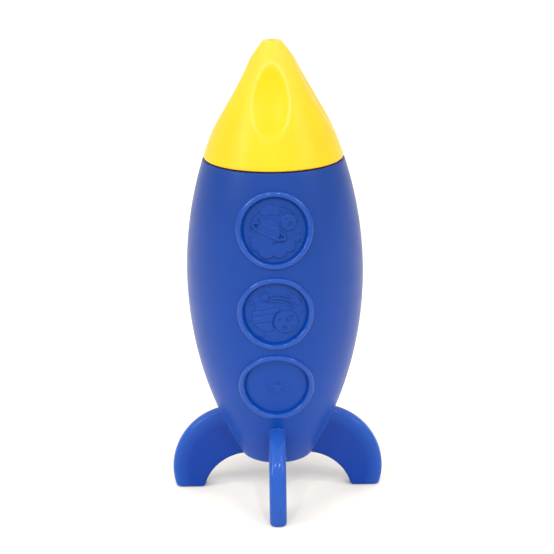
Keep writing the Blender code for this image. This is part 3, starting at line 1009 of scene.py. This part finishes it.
def make_floor(material):
    line = np.linspace(-FLOOR_REACH, FLOOR_REACH, FLOOR_TILES + 1)
    vertices = [(x, y, 0.0) for y in line for x in line]
    faces = []
    for row in range(FLOOR_TILES):
        for column in range(FLOOR_TILES):
            first = row * (FLOOR_TILES + 1) + column
            above = first + FLOOR_TILES + 1
            faces.append((first, first + 1, above + 1, above))
    mesh = bpy.data.meshes.new("studio_floor")
    mesh.from_pydata(vertices, [], faces)
    mesh.materials.append(material)
    floor = bpy.data.objects.new("studio_floor", mesh)
    bpy.context.scene.collection.objects.link(floor)


def make_light(name, place, width, height, power):
    light = bpy.data.lights.new(name, "AREA")
    light.shape = "RECTANGLE"
    light.size = width
    light.size_y = height
    light.energy = power
    lamp = bpy.data.objects.new(name, light)
    lamp.location = place
    lamp.rotation_euler = (Vector(LIGHT_AIM) - Vector(place)).to_track_quat("-Z", "Y").to_euler()
    bpy.context.scene.collection.objects.link(lamp)


def make_world():
    """White light from all round: the walls, a brighter room in front, and the ceiling."""
    world = bpy.data.worlds.new("studio")
    world.use_nodes = True
    nodes, links = world.node_tree.nodes, world.node_tree.links
    background = nodes["Background"]
    place = nodes.new("ShaderNodeTexCoord")
    parts = nodes.new("ShaderNodeSeparateXYZ")
    links.new(place.outputs["Generated"], parts.inputs["Vector"])

    def fade(value, first, last, low, high):
        made = nodes.new("ShaderNodeMapRange")
        made.interpolation_type = "SMOOTHSTEP"
        made.inputs["From Min"].default_value = first
        made.inputs["From Max"].default_value = last
        made.inputs["To Min"].default_value = low
        made.inputs["To Max"].default_value = high
        links.new(value, made.inputs["Value"])
        return made.outputs["Result"]

    level = fade(parts.outputs["Y"], *ROOM_FRONT_FADE, ROOM_FRONT, ROOM_WALLS)
    above = fade(parts.outputs["Z"], *ROOM_TOP_FADE, 0.0, 1.0)
    blend = nodes.new("ShaderNodeMix")
    links.new(above, blend.inputs["Factor"])
    links.new(level, blend.inputs["A"])
    blend.inputs["B"].default_value = ROOM_TOP
    links.new(blend.outputs["Result"], background.inputs["Strength"])
    background.inputs["Color"].default_value = ROOM_COLOUR
    bpy.context.scene.world = world


def make_camera():
    data = bpy.data.cameras.new("camera")
    data.lens = CAMERA_LENS
    data.sensor_width = CAMERA_SENSOR
    data.clip_start = CAMERA_NEAR
    camera = bpy.data.objects.new("camera", data)
    forward = Vector(
        (
            math.sin(CAMERA_YAW) * math.cos(CAMERA_PITCH),
            math.cos(CAMERA_YAW) * math.cos(CAMERA_PITCH),
            -math.sin(CAMERA_PITCH),
        )
    )
    right = Vector((math.cos(CAMERA_YAW), -math.sin(CAMERA_YAW), 0.0))
    up = right.cross(forward)
    leaned_up = up * math.cos(CAMERA_ROLL) + right * math.sin(CAMERA_ROLL)
    leaned_right = right * math.cos(CAMERA_ROLL) - up * math.sin(CAMERA_ROLL)
    turn = Matrix((leaned_right, leaned_up, -forward)).transposed()
    camera.matrix_world = Matrix.Translation(CAMERA_PLACE) @ turn.to_4x4()
    bpy.context.scene.collection.objects.link(camera)
    bpy.context.scene.camera = camera


def make_materials():
    """The rubber of the hull, the fins, the porthole rims and the nose, in that order."""
    # Painted light and shade: the hull, its plaques and the porthole rims grow darker towards the
    # top and lighter towards the bottom
    painted_shade_up_the_hull = (height_measure, 20 * MM, 134 * MM)
    # Painted highlight: the nose grows paler towards its tip
    painted_highlight_up_the_tip = (height_measure, 148 * MM, 168 * MM)
    # Painted light and shade: each fin grows lighter towards its outer edge and darker inwards
    # towards the hull
    painted_light_out_to_fin_edge = (fin_back_measure, 18.5 * MM, 24.4 * MM)
    hull_blue = soft_rubber(
        "hull_silicone", (0.0005, 0.0510, 0.350), (0.0035, 0.0365, 0.216), painted_shade_up_the_hull,
        glow=0.10, roughness=0.38, shine=0.26, fuzz=0.06, seed=0.3,
    )
    fin_blue = soft_rubber(
        "fin_silicone", (0.0005, 0.039, 0.305), (0.014, 0.078, 0.382), painted_light_out_to_fin_edge,
        glow=0.10, roughness=0.14, shine=0.24, fuzz=0.0, seed=1.1,
    )
    rim_blue = soft_rubber(
        "rim_silicone", (0.001, 0.055, 0.340), (0.001, 0.048, 0.300), painted_shade_up_the_hull,
        glow=0.10, roughness=0.14, shine=0.50, fuzz=0.0, seed=2.3,
    )
    yellow = soft_rubber(
        "nose_silicone", (0.955, 0.480, 0.014), (0.955, 0.490, 0.040), painted_highlight_up_the_tip,
        glow=0.25, roughness=0.32, shine=0.21, fuzz=0.08, seed=3.7,
    )
    return hull_blue, fin_blue, rim_blue, yellow


def main():
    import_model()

    hull_blue, fin_blue, rim_blue, yellow = make_materials()
    portholes = {}
    for place in ("upper", "middle", "lower"):
        low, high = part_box("porthole_ring_" + place)
        portholes[place] = (low.z + high.z) / 2
    make_hull(hull_blue, portholes)
    for place, middle in portholes.items():
        make_ring(place, middle, rim_blue)
        make_plaque(place, middle, hull_blue)
    make_fins(fin_blue)
    make_nose(yellow)
    make_plug(yellow)

    make_floor(paper_floor())
    make_world()
    for light in LIGHTS:
        make_light(*light)
    make_camera()
    bpy.context.scene.view_settings.view_transform = "Standard"


main()
